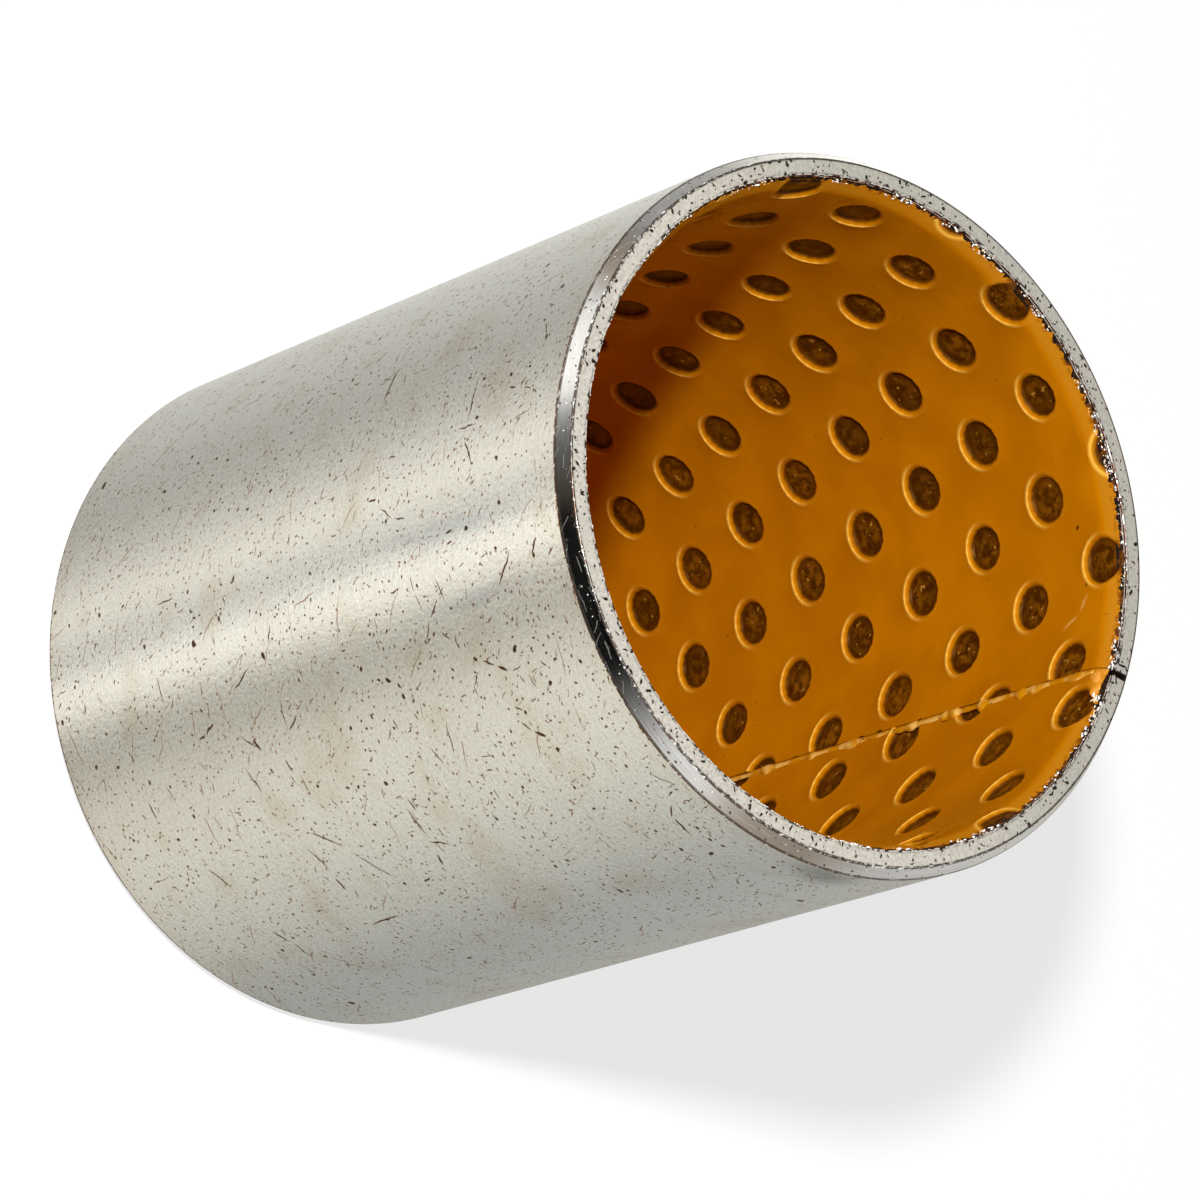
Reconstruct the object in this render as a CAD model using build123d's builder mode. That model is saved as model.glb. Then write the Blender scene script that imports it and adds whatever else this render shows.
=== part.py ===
"""Rolled split bush: a tin-plated steel strip with a sintered bronze layer and an
indented polymer lining, rolled to a tube whose two ends meet in a straight seam.

The bush stands on one end. The origin is the centre of that end face, +Z runs along
the bore and the seam faces +Y. All sizes are in millimetres.
"""
import os
from math import ceil, cos, floor, pi, sin

from build123d import *

# The bush
bore_diameter = 35.0
length = 50.0

# The layers of the strip, from the bore outwards
lining_wall = 0.35
bronze_wall = 0.20
steel_wall = 1.45

# Turned edges at both ends: how far each runs along the bush and into the wall
outer_chamfer_along = 0.8
outer_chamfer_depth = 0.5
bore_chamfer_along = 1.05
bore_chamfer_depth = 0.6

# The butt joint of the rolled strip
seam_gap = 0.12

# Grease indents, rolled into the flat strip in slanting rows. The flat strip's
# directions are (round the bush, up the bush), and its corner is at the seam.
# Each indent is a six-sided pocket of the round one's width, which keeps the
# lining light, and stops just short of the bronze.
indent_width = 2.3
indent_sides = 6
indent_floor_wall = 0.08
first_indent = (1.05, 5.0)
next_in_row = (1.38, 5.72)
next_row = (5.52, 1.99)

bore_radius = bore_diameter / 2
lining_radius = bore_radius + lining_wall
bronze_radius = lining_radius + bronze_wall
outer_radius = bronze_radius + steel_wall


def layer_section(inner_radius, layer_radius):
    """One layer's section: the slice of the chamfered wall between two radii."""
    with BuildSketch(Plane.XZ) as section:
        with BuildLine():
            Polyline(
                (bore_radius, bore_chamfer_along),
                (bore_radius + bore_chamfer_depth, 0),
                (outer_radius - outer_chamfer_depth, 0),
                (outer_radius, outer_chamfer_along),
                (outer_radius, length - outer_chamfer_along),
                (outer_radius - outer_chamfer_depth, length),
                (bore_radius + bore_chamfer_depth, length),
                (bore_radius, length - bore_chamfer_along),
                close=True,
            )
        make_face()
        with Locations(((inner_radius + layer_radius) / 2, length / 2)):
            Rectangle(layer_radius - inner_radius, length, mode=Mode.INTERSECT)
    return section.sketch


def cut_seam():
    """Part the tube in hand along the butt joint, through the whole wall."""
    with Locations((0, outer_radius, length / 2)):
        Box(seam_gap, outer_radius, length, mode=Mode.SUBTRACT)


def indent_floors():
    """A plane on the floor of each indent, facing the bore.

    The rows are laid out on the flat strip. An indent is there when its centre is,
    so some are cut through by the seam or by an end of the bush.
    """
    strip_length = 2 * pi * bore_radius - seam_gap
    floor_radius = lining_radius - indent_floor_wall
    most_rows = ceil((strip_length + length) / next_row[0])
    floors = []
    for row in range(-most_rows, most_rows + 1):
        row_start = first_indent[0] + row * next_row[0]
        row_height = first_indent[1] + row * next_row[1]
        lowest = ceil(-row_height / next_in_row[1])
        highest = floor((length - row_height) / next_in_row[1])
        for place in range(lowest, highest + 1):
            round_strip = row_start + place * next_in_row[0]
            if not 0 < round_strip < strip_length:
                continue
            angle = pi / 2 + (seam_gap / 2 + round_strip) / bore_radius
            inwards = Vector(-cos(angle), -sin(angle), 0)
            height = Vector(0, 0, row_height + place * next_in_row[1])
            centre = height - inwards * floor_radius
            floors.append(Plane(origin=centre, x_dir=(0, 0, 1), z_dir=inwards))
    return floors


os.makedirs("parts", exist_ok=True)

# Steel backing: carries the load and fills the housing
with BuildPart() as steel_backing:
    revolve(layer_section(bronze_radius, outer_radius), axis=Axis.Z)
    cut_seam()
steel_backing.part.label = "steel_backing"
export_step(steel_backing.part, "parts/steel_backing.step")

# Bronze layer: porous, sintered to the steel, keys the lining to the backing
with BuildPart() as bronze_layer:
    revolve(layer_section(lining_radius, bronze_radius), axis=Axis.Z)
    cut_seam()
bronze_layer.part.label = "bronze_layer"
export_step(bronze_layer.part, "parts/bronze_layer.step")

# Polymer lining: the running surface, with grease indents pressed almost to the bronze
with BuildPart() as polymer_lining:
    revolve(layer_section(bore_radius, lining_radius), axis=Axis.Z)
    cut_seam()
    with BuildSketch(*indent_floors()):
        RegularPolygon(indent_width / 2, indent_sides, major_radius=False)
    extrude(amount=indent_width, mode=Mode.SUBTRACT)
polymer_lining.part.label = "polymer_lining"
export_step(polymer_lining.part, "parts/polymer_lining.step")
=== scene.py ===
"""A rolled split bush, standing on its lower end: a tin-plated steel shell, a ring of
sintered bronze and an indented polymer lining, with the rolled strip's two ends
meeting in one straight seam. Every length is in millimetres until a mesh is finished.
"""
import random
from math import atan2, cos, hypot, pi, radians, sin

import bmesh
import bpy
from mathutils import Matrix, Vector, noise


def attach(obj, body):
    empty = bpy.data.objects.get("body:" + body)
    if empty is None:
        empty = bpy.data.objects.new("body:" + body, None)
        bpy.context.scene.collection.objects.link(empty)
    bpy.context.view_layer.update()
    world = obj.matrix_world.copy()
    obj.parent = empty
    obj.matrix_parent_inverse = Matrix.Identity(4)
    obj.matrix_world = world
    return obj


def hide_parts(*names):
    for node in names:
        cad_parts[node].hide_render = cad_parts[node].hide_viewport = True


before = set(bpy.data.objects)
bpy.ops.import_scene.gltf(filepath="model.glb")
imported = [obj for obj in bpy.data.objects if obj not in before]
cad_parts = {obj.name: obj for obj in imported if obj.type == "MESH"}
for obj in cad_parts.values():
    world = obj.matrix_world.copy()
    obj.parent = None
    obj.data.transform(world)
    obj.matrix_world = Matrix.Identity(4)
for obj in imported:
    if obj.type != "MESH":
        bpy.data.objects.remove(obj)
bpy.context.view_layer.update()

# ---------------------------------------------------------------------------
# Camera. It looks down into the bore from above the front, rolled on its side,
# so the standing bush lies across the picture.
# ---------------------------------------------------------------------------
MM = 0.001
camera_place = Vector((153.988, -161.307, 302.602)) * MM
camera_right = Vector((-0.271600, 0.757062, 0.594215))
camera_up = Vector((-0.858876, -0.469247, 0.205276))
camera_back = Vector((0.434240, -0.454604, 0.777670))

camera_data = bpy.data.cameras.new("camera")
camera_data.sensor_width = 36.0
camera_data.lens = 193.18
camera_data.clip_start = 0.01
camera_data.clip_end = 20.0
camera = bpy.data.objects.new("camera", camera_data)
turn = Matrix((camera_right, camera_up, camera_back)).transposed().to_4x4()
camera.matrix_world = Matrix.Translation(camera_place) @ turn
bpy.context.collection.objects.link(camera)
bpy.context.scene.camera = camera
bpy.context.scene.view_settings.view_transform = "Standard"


# ---------------------------------------------------------------------------
# Studio. A white floor, a small key lamp left of the camera, and a pale room: two
# tall white panels either side of a dark gap behind the camera, which is what the
# turned edges mirror.
# ---------------------------------------------------------------------------
class Shade:
    """One output socket of a shader tree, whose maths reads as plain Python."""

    def __init__(self, tree, socket=None):
        self.tree = tree
        self.socket = socket

    def node(self, kind, settings=None, inputs=None, output=0):
        """A new node: its type, its settings, then its sockets' values or links."""
        made = self.tree.nodes.new(kind)
        for name, value in (settings or {}).items():
            if name == "stops":
                ramp = made.color_ramp
                while len(ramp.elements) < len(value):
                    ramp.elements.new(1.0)
                for element, (place, colour) in zip(ramp.elements, value):
                    element.position = place
                    element.color = colour if isinstance(colour, tuple) else (colour,) * 3 + (1.0,)
            else:
                setattr(made, name, value)
        for name, value in (inputs or {}).items():
            if isinstance(value, Shade):
                self.tree.links.new(value.socket, made.inputs[name])
            else:
                made.inputs[name].default_value = value
        return Shade(self.tree, made.outputs[output] if made.outputs else None)

    def math(self, operation, *values):
        return self.node("ShaderNodeMath", {"operation": operation}, dict(enumerate(values)))

    def __add__(self, other):
        return self.math("ADD", self, other)

    def __sub__(self, other):
        return self.math("SUBTRACT", self, other)

    def __rsub__(self, other):
        return self.math("SUBTRACT", other, self)

    def __mul__(self, other):
        return self.math("MULTIPLY", self, other)

    def __truediv__(self, other):
        return self.math("DIVIDE", self, other)

    def __lt__(self, other):
        return self.math("LESS_THAN", self, other)

    def __gt__(self, other):
        return self.math("GREATER_THAN", self, other)

    __radd__ = __add__
    __rmul__ = __mul__

    def step(self, low, high, start=0.0, end=1.0):
        """Smoothly from start, below low, to end, above high."""
        return self.node(
            "ShaderNodeMapRange",
            {"interpolation_type": "SMOOTHSTEP"},
            {0: self, 1: low, 2: high, 3: start, 4: end},
        )

    def absolute(self):
        return self.math("ABSOLUTE", self)

    def scaled(self, by):
        """This vector or colour times one number."""
        return self.node("ShaderNodeVectorMath", {"operation": "SCALE"}, {0: self, 3: by})

    def vector(self, operation, other):
        return self.node("ShaderNodeVectorMath", {"operation": operation}, {0: self, 1: other})

    def blend(self, below, above):
        """Colour below where this mask is 0, above where it is 1."""
        return self.node("ShaderNodeMix", {"data_type": "RGBA"}, {0: self, 6: below, 7: above}, 2)

    def ramp(self, *stops):
        return self.node("ShaderNodeValToRGB", {"stops": stops}, {0: self})

    def parts(self):
        return [self.node("ShaderNodeSeparateXYZ", {}, {0: self}, axis) for axis in range(3)]


def rgb(red, green, blue):
    return (red, green, blue, 1.0)


def empty_material(name):
    material = bpy.data.materials.new(name)
    material.use_nodes = True
    material.node_tree.nodes.clear()
    return material


world = bpy.data.worlds.new("pale_room")
bpy.context.scene.world = world
world.use_nodes = True
world.node_tree.nodes.clear()
air = Shade(world.node_tree)
look_x, look_y, look_z = air.node("ShaderNodeTexCoord", output=0).parts()
camera_bearing = atan2(camera_place.y, camera_place.x)
ahead = look_x * cos(camera_bearing) + look_y * sin(camera_bearing)
aside = look_y * cos(camera_bearing) - look_x * sin(camera_bearing)
bearing = aside.math("ARCTAN2", aside, ahead) / (2 * pi) + 0.5


def around(*stops):
    """Stops given as degrees from the camera's bearing, made places on a 0 to 1 ramp."""
    return [((angle + 180) / 360, value) for angle, value in stops]


low_room = bearing.ramp(
    *around(
        (-180, rgb(1.05, 1.04, 1.00)), (-154, rgb(0.76, 0.76, 0.72)), (-122, rgb(0.59, 0.59, 0.55)),
        (-100, rgb(0.425, 0.41, 0.38)), (-82, rgb(0.42, 0.41, 0.38)), (-64, rgb(0.84, 0.805, 0.735)),
        (-52, rgb(1.48, 1.42, 1.28)), (-47, rgb(1.20, 1.16, 1.06)), (-44, rgb(0.28, 0.285, 0.285)),
        (-36.5, rgb(0.26, 0.265, 0.265)), (-33, rgb(1.40, 1.36, 1.27)), (-30, rgb(2.02, 1.95, 1.81)),
        (-24, rgb(1.60, 1.53, 1.38)), (-16, rgb(0.50, 0.48, 0.43)), (-6, rgb(0.41, 0.395, 0.345)),
        (5, rgb(0.76, 0.72, 0.63)), (20, rgb(0.94, 0.90, 0.80)), (40, rgb(0.88, 0.85, 0.755)),
        (66, rgb(0.68, 0.665, 0.60)),
        (100, rgb(0.405, 0.415, 0.40)), (120, rgb(0.415, 0.425, 0.41)), (146, rgb(0.455, 0.455, 0.43)),
        (166, rgb(0.36, 0.34, 0.31)), (174, rgb(0.46, 0.44, 0.41)), (180, rgb(1.05, 1.04, 1.00)),
    )
)
eye_level_room = bearing.ramp(
    *around(
        (-150, 0.50), (-128, 0.42), (-112, 0.44), (-101, 0.33), (-92, 0.40), (-84, 0.70), (-78, 1.05),
        (-70, 1.25), (-60, 1.34), (-55, 1.10), (-51, 0.55), (-46, 0.25), (-40, 0.12), (-32, 0.09),
        (-25, 0.02), (-20, 0.004), (17, 0.004), (22, 0.07), (28, 0.20), (35, 0.48), (44, 0.86),
        (54, 0.96), (62, 0.70), (70, 0.46), (86, 0.38), (104, 0.58), (124, 0.68), (160, 0.70),
    )
)
# nearer the floor the room is darker, but for one even part of the wall
low_shade = look_z.step(-1.0, -0.55, 0.65, 1.5)
even_part = bearing.step(0.11, 0.15) * bearing.step(0.25, 0.30, 1.0, 0.0)
low_shade = low_shade + even_part * (1.17 - low_shade)
room = look_z.step(-0.5, -0.2).blend(low_room.scaled(low_shade), eye_level_room)
overhead = look_z.step(0.45, 0.95).blend(rgb(0.74, 0.73, 0.71), rgb(1.12, 1.11, 1.08))
room = look_z.step(0.30, 0.48).blend(room, overhead)
light_path = "ShaderNodeLightPath"
seen_by_camera = air.node(light_path, output=0)
seen_in_gloss = air.node(light_path, output=3)
room = seen_in_gloss.blend(rgb(0.31, 0.307, 0.30), room)
room = seen_by_camera.blend(room, rgb(1.0, 1.0, 1.0))
background = air.node("ShaderNodeBackground", {}, {"Color": room, "Strength": 1.0})
air.node("ShaderNodeOutputWorld", {}, {"Surface": background})

key_bearing = radians(-70.0)
key_elevation = radians(53.0)
key_distance = 0.46
lit_middle = Vector((0, 0, 0.05))
key_data = bpy.data.lights.new("key", "AREA")
key_data.shape = "DISK"
key_data.size = 0.034
key_data.energy = 2.65
key_data.color = (1.0, 0.985, 0.95)
key = bpy.data.objects.new("key", key_data)
toward_key = Vector((cos(key_elevation) * cos(key_bearing), cos(key_elevation) * sin(key_bearing),
                     sin(key_elevation)))
turned_to_bush = toward_key.to_track_quat("Z", "Y").to_matrix().to_4x4()
key.matrix_world = Matrix.Translation(lit_middle + toward_key * key_distance) @ turned_to_bush
bpy.context.collection.objects.link(key)


def studio_sheet(name, bm, material):
    """Puts a flat mesh, in metres, into the studio."""
    mesh = bpy.data.meshes.new(name)
    bm.to_mesh(mesh)
    bm.free()
    mesh.materials.append(material)
    sheet = bpy.data.objects.new(name, mesh)
    bpy.context.collection.objects.link(sheet)
    return sheet


white_paper = empty_material("white_paper")
paper = Shade(white_paper.node_tree)
matt = paper.node("ShaderNodeBsdfDiffuse", {}, {"Color": rgb(0.82, 0.82, 0.82), "Roughness": 1.0})
glow = paper.node("ShaderNodeEmission", {}, {"Color": rgb(1.0, 1.0, 1.0), "Strength": 1.0})
whiteness = paper.node(light_path, output=0) * 0.72
paper_surface = paper.node("ShaderNodeMixShader", {}, {0: whiteness, 1: matt, 2: glow})
paper.node("ShaderNodeOutputMaterial", {}, {"Surface": paper_surface})
floor_bm = bmesh.new()
bmesh.ops.create_grid(floor_bm, x_segments=8, y_segments=8, size=3.0)
floor = studio_sheet("floor", floor_bm, white_paper)
floor.visible_glossy = False

# the paper at the foot of the bore: painted light, it glows and is amber to all but camera rays, standing
# in for light from below and the bore's amber bounce
glowing_bore_paper = empty_material("glowing_bore_paper")
shaded = Shade(glowing_bore_paper.node_tree)
painted_amber_bounce_tone = shaded.node(light_path, output=0).blend(rgb(0.66, 0.25, 0.008), rgb(0.80, 0.80, 0.80))
paper_lit = shaded.node("ShaderNodeBsdfDiffuse", {}, {"Color": painted_amber_bounce_tone})
# painted light: the paper glows though it is no lamp
painted_glow_from_below = shaded.node("ShaderNodeEmission", {}, {"Color": painted_amber_bounce_tone, "Strength": 0.22})
shaded_surface = shaded.node("ShaderNodeAddShader", {}, {0: paper_lit, 1: painted_glow_from_below})
shaded.node("ShaderNodeOutputMaterial", {}, {"Surface": shaded_surface})
patch_bm = bmesh.new()
bmesh.ops.create_circle(patch_bm, cap_ends=True, segments=64, radius=18.04 * MM)
bmesh.ops.translate(patch_bm, verts=patch_bm.verts, vec=(0, 0, 0.05 * MM))
patch = studio_sheet("floor_in_bore", patch_bm, glowing_bore_paper)


# ---------------------------------------------------------------------------
# Steel shell. Mild steel strip, plated with tin and rolled to a tube; its ends
# are turned after rolling, so the chamfers are bright and grooved round.
# ---------------------------------------------------------------------------
outer_radius = 19.5
steel_bore_radius = 18.05
bush_length = 50.0
outer_chamfer_along = 0.8
outer_chamfer_depth = 0.5
bore_chamfer_along = 1.05
bore_chamfer_depth = 0.6
bore_radius = 17.5
face_radius = bore_radius + bore_chamfer_depth
seam_gap = 0.085
seam_gap_radius = 18.75
edge_softness = 0.03
edge_support = 0.07
turns = 720
burr_width = 0.17
burr_height = 0.2
# the strip was sheared a little askew, so the seam leans across the wall, and its
# bore corner is chipped
seam_lean_outside = radians(-0.05)
seam_lean_inside = radians(-0.35)
lean_dies_out = radians(7.0)
chip_width = 0.35
chip_height = 0.2


def chamfer_height(radius):
    """How far below the end face the bore chamfer crosses this radius."""
    return (face_radius - radius) * bore_chamfer_along / bore_chamfer_depth


def new_piece(name, bm, *materials):
    """Puts a finished mesh, modelled in millimetres, into the scene in metres."""
    bmesh.ops.scale(bm, vec=(MM, MM, MM), verts=bm.verts)
    mesh = bpy.data.meshes.new(name)
    bm.to_mesh(mesh)
    bm.free()
    for material in materials:
        mesh.materials.append(material)
    piece = bpy.data.objects.new(name, mesh)
    bpy.context.collection.objects.link(piece)
    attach(piece, "root")
    return piece


def spun_ring(bm, section, steps):
    """Spins a closed (radius, height) section round from one lip of the seam to the other."""
    corners = [bm.verts.new((seam_gap / 2, radius, height)) for radius, height in section]
    bm.faces.new(corners)
    half_gap = seam_gap / 2 / seam_gap_radius
    bmesh.ops.spin(
        bm, geom=bm.verts[:] + bm.edges[:] + bm.faces[:], cent=(0, 0, 0), axis=(0, 0, 1),
        angle=-(2 * pi - 2 * half_gap), steps=steps, use_merge=False, use_duplicate=False,
    )
    bmesh.ops.remove_doubles(bm, verts=bm.verts, dist=0.0005)
    bmesh.ops.recalc_face_normals(bm, faces=bm.faces)


def lean_seam(bm):
    """Turns the mesh beside the seam a little, more outside than inside."""
    for vert in bm.verts:
        radius = hypot(vert.co.x, vert.co.y)
        from_seam = atan2(-vert.co.x, vert.co.y)
        share = (radius - steel_bore_radius) / (outer_radius - steel_bore_radius)
        lean = seam_lean_inside + (seam_lean_outside - seam_lean_inside) * share
        turned_to = from_seam + lean * max(0.0, 1.0 - abs(from_seam) / lean_dies_out)
        if abs(from_seam) < 0.005 and bush_length - vert.co.z < chip_height:
            chip = max(0.0, 1 - (radius - steel_bore_radius) / chip_width)
            turned_to += (0.009 if from_seam > 0 else -0.007) * chip
        vert.co.x = -radius * sin(turned_to)
        vert.co.y = radius * cos(turned_to)


def end_to_end(half_section):
    """A section given from mid-length up to one end, mirrored to the other."""
    return half_section + [(radius, bush_length - height) for radius, height in reversed(half_section)]


chamfer_run = hypot(outer_chamfer_along, outer_chamfer_depth)
support_in = edge_support * outer_chamfer_depth / chamfer_run
support_down = edge_support * outer_chamfer_along / chamfer_run
steel_section = end_to_end([
    (steel_bore_radius, bush_length - chamfer_height(steel_bore_radius)),
    (face_radius, bush_length),
    (face_radius + 0.05, bush_length),
    (face_radius + 0.14, bush_length),
    (outer_radius - outer_chamfer_depth - edge_support, bush_length),
    (outer_radius - outer_chamfer_depth, bush_length),
    (outer_radius - outer_chamfer_depth + support_in, bush_length - support_down),
    (outer_radius - support_in, bush_length - outer_chamfer_along + support_down),
    (outer_radius, bush_length - outer_chamfer_along),
    (outer_radius, bush_length - outer_chamfer_along - edge_support),
])
steel_bm = bmesh.new()
spun_ring(steel_bm, steel_section, turns)
ring_edges = []
for edge in steel_bm.edges:
    if len(edge.link_faces) == 2 and edge.calc_face_angle() > 0.3:
        a, b = edge.verts
        if abs(a.co.z - b.co.z) < 1e-4 and hypot(a.co.x, a.co.y) > face_radius + 0.2:
            ring_edges.append(edge)
bmesh.ops.bevel(
    steel_bm, geom=ring_edges, offset=edge_softness, offset_type="OFFSET", segments=2, profile=0.5,
    affect="EDGES", material=-1,
)
# the turning tool drags the bore corner into a ragged burr
for vert in steel_bm.verts:
    radius = hypot(vert.co.x, vert.co.y)
    from_end = min(vert.co.z, bush_length - vert.co.z)
    inward = face_radius + burr_width - radius
    if inward > 0 and from_end < burr_height:
        bearing_here = atan2(vert.co.y, vert.co.x)
        fine_burr = noise.noise(Vector((bearing_here * 95, 3.0, vert.co.z)))
        coarse_burr = noise.noise(Vector((bearing_here * 30, 7.0, vert.co.z)))
        raised = noise.noise(Vector((bearing_here * 60, 19.0, vert.co.z)))
        share = min(1.0, inward / 0.12)
        push = share * (0.022 * fine_burr + 0.030 * coarse_burr - 0.005)
        vert.co.x *= 1 + push / radius
        vert.co.y *= 1 + push / radius
        lift = share * 0.012 * raised
        vert.co.z += -abs(lift) if vert.co.z > bush_length / 2 else abs(lift)
lean_seam(steel_bm)
steel_finishes = ("outside", "chamfer", "end", "sheared")
for face in steel_bm.faces:
    middle = face.calc_center_median()
    radius = hypot(middle.x, middle.y)
    from_end = min(middle.z, bush_length - middle.z)
    if len(face.verts) > 4:
        finish = "sheared"
    elif radius < face_radius + 0.01 and from_end < burr_height:
        finish = "chamfer"
    elif radius > outer_radius - 0.01 and from_end > outer_chamfer_along - 0.02:
        finish = "outside"
    elif radius > outer_radius - outer_chamfer_depth - 0.005:
        finish = "chamfer"
    else:
        finish = "end"
    face.material_index = steel_finishes.index(finish)
    face.smooth = finish != "sheared" and abs(face.normal.z) <= 0.9999


class Paint(Shade):
    """A material of the bush, begun with the surface's own millimetre coordinates."""

    def __init__(self, name):
        self.material = empty_material(name)
        super().__init__(self.material.node_tree)
        self.place = self.node("ShaderNodeTexCoord", output=3).scaled(1 / MM)
        self.x, self.y, self.z = self.place.parts()

    def noise(self, scale, detail=2.0, roughness=0.5, where=None, output=0):
        where = self.place if where is None else where
        inputs = {"Vector": where, "Scale": scale, "Detail": detail, "Roughness": roughness}
        return self.node("ShaderNodeTexNoise", {"noise_dimensions": "3D"}, inputs, output)

    def stirred(self, where, scale, by):
        """The same place moved about a little, so that straight marks waver."""
        push = self.noise(scale, where=where, output=1).vector("SUBTRACT", (0.5, 0.5, 0.5))
        return where.vector("ADD", push.scaled(by))

    def flat_place(self, across, up):
        return self.node("ShaderNodeCombineXYZ", {}, {0: across, 1: up, 2: 0.0})

    def bearing(self):
        """Radians round the bush from opposite the seam."""
        return self.math("ARCTAN2", self.x, self.y * -1.0)

    def unrolled(self, radius):
        """The surface laid flat: millimetres round from opposite the seam, and height."""
        return self.flat_place(self.bearing() * radius, self.z)

    def from_middle(self):
        """Height above or below the bush's middle."""
        return (self.z - bush_length / 2).absolute()

    def far_out(self, shape):
        """How long a vector is."""
        return self.node("ShaderNodeVectorMath", {"operation": "LENGTH"}, {0: shape}, 1)

    def marks(self, flat, cell, length, width, share, lean=0.0, spread=pi, shift=0.0):
        """A mask with one short mark in a share of the cells: pits, nicks or scratches."""
        moved = flat.vector("ADD", (shift, shift * 1.7, 0.0))
        cells = {"voronoi_dimensions": "2D", "feature": "F1"}
        middle = self.node("ShaderNodeTexVoronoi", cells, {"Vector": moved, "Scale": 1.0 / cell}, 2)
        chance = Shade(self.tree, middle.socket.node.outputs[1]).parts()
        turned = self.node(
            "ShaderNodeVectorRotate", {"rotation_type": "Z_AXIS"},
            {"Vector": moved.vector("SUBTRACT", middle), "Angle": (chance[0] - 0.5) * spread + lean},
        )
        size = self.far_out(turned.vector("DIVIDE", (length / 2, width / 2, 1.0)))
        reach = chance[1] * 0.75 + 0.35
        return (size / reach).step(0.55, 1.0, 1.0, 0.0) * (chance[2] < share)

    def placed(self, flat, marks, softest=0.5):
        """A mask of marks placed one by one: across, up, length, width, degrees of lean."""
        mask = None
        for across, up, length, width, lean in marks:
            mark = self.node("ShaderNodeTexGradient", {"gradient_type": "SPHERICAL"}, {"Vector": flat}, 1)
            own_place = mark.socket.node.texture_mapping
            own_place.vector_type = "TEXTURE"
            own_place.translation = (across, up, 0.0)
            own_place.rotation = (0.0, 0.0, radians(lean))
            own_place.scale = (length / 2, width / 2, 1.0)
            mask = mark if mask is None else mask.math("MAXIMUM", mask, mark)
        return mask.step(0.0, 1.0 - softest)

    def finish(self, **inputs):
        named = {name.replace("_", " "): value for name, value in inputs.items()}
        shader = self.node("ShaderNodeBsdfPrincipled", {}, named)
        self.node("ShaderNodeOutputMaterial", {}, {"Surface": shader})
        return self.material

    def bump(self, height, distance, strength):
        inputs = {"Height": height, "Distance": distance * MM, "Strength": strength}
        return self.node("ShaderNodeBump", {}, inputs)


def most(*masks):
    """The strongest of several masks."""
    strongest = masks[0]
    for mask in masks[1:]:
        strongest = strongest.math("MAXIMUM", strongest, mask)
    return strongest


# wear of the handled outside, each mark as placed() takes it
gouges = (
    (11.65, 44.0, 2.5, 0.17, -43), (11.05, 46.8, 1.2, 0.15, -33), (-1.45, 32.08, 2.7, 0.17, -5),
    (12.45, 37.4, 1.45, 0.12, -47), (13.4, 36.5, 1.3, 0.12, -39), (16.5, 41.4, 1.0, 0.22, 58),
    (16.0, 40.5, 1.1, 0.15, 66), (15.65, 22.6, 1.5, 0.15, -60), (12.5, 19.3, 2.5, 0.14, -62),
    (16.15, 18.85, 1.1, 0.22, 20), (14.5, 15.2, 1.3, 0.18, -68), (14.8, 14.2, 0.9, 0.13, -78),
    (17.75, 7.12, 1.3, 0.17, 2), (17.8, 20.75, 0.8, 0.16, 20), (19.8, 33.0, 1.4, 0.12, 14),
    (28.2, 45.8, 1.6, 0.20, -10), (27.0, 46.2, 1.3, 0.14, -42), (25.7, 27.2, 1.0, 0.20, -22),
    (24.6, 28.3, 1.7, 0.14, 68), (23.0, 27.95, 2.2, 0.14, -3), (22.4, 20.1, 2.8, 0.13, 52),
    (25.3, 18.2, 1.2, 0.18, -10), (28.6, 18.4, 3.4, 0.16, -87), (22.7, 9.2, 1.9, 0.16, 27),
    (27.6, 9.45, 1.3, 0.22, 12), (17.65, 43.28, 1.0, 0.11, 3), (2.1, 44.8, 0.7, 0.16, 66),
    (2.5, 46.2, 0.9, 0.10, 66), (20.4, 41.7, 1.0, 0.24, 58), (18.0, 17.15, 1.9, 0.15, 14),
    (6.85, 12.8, 2.0, 0.11, 90), (16.7, 42.5, 1.0, 0.10, -70), (26.7, 24.8, 0.9, 0.16, -75),
    (21.95, 28.65, 0.9, 0.13, 2), (16.9, 44.7, 0.7, 0.13, 38), (8.85, 39.8, 0.8, 0.17, -80),
    (9.35, 39.7, 0.6, 0.15, -84), (5.6, 32.9, 0.9, 0.17, 84),
)
fine_scratches = (
    (7.15, 35.5, 1.3, 0.10, 74), (6.6, 34.2, 1.7, 0.09, 53), (11.65, 38.35, 1.7, 0.09, 17),
    (10.8, 36.0, 1.2, 0.09, 2), (11.8, 36.3, 1.1, 0.10, 30), (13.95, 37.85, 1.0, 0.11, 45),
    (19.1, 34.75, 2.4, 0.09, -22), (16.6, 39.0, 1.1, 0.10, -40), (17.2, 38.6, 0.8, 0.10, -10),
    (15.0, 22.1, 2.1, 0.10, -10), (19.2, 21.2, 1.5, 0.10, -8), (15.9, 18.3, 1.9, 0.10, 52),
    (24.8, 22.0, 3.6, 0.10, 31), (23.3, 18.25, 2.4, 0.11, 14), (24.9, 47.8, 1.7, 0.10, 46),
    (25.9, 47.4, 0.7, 0.10, -70), (11.6, 11.5, 2.0, 0.12, 8), (17.2, 9.45, 1.3, 0.10, 13),
    (1.8, 41.2, 3.3, 0.14, 0), (4.9, 41.5, 2.0, 0.13, 33), (3.45, 41.1, 1.8, 0.13, 90),
    (20.65, 36.8, 1.2, 0.09, 84), (29.1, 9.7, 1.9, 0.13, -6), (18.7, 41.2, 0.8, 0.13, 62),
    (19.8, 41.0, 0.9, 0.12, 30), (-1.0, 46.4, 1.3, 0.09, 28), (-2.0, 31.5, 1.0, 0.09, 90),
    (14.6, 7.2, 0.9, 0.12, 8), (10.7, 22.6, 1.1, 0.14, -30), (31.0, 8.0, 0.9, 0.13, -8),
    (34.9, 19.3, 1.2, 0.10, -52), (33.8, 43.5, 1.0, 0.10, -50), (37.4, 40.9, 1.2, 0.12, -42),
)
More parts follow.
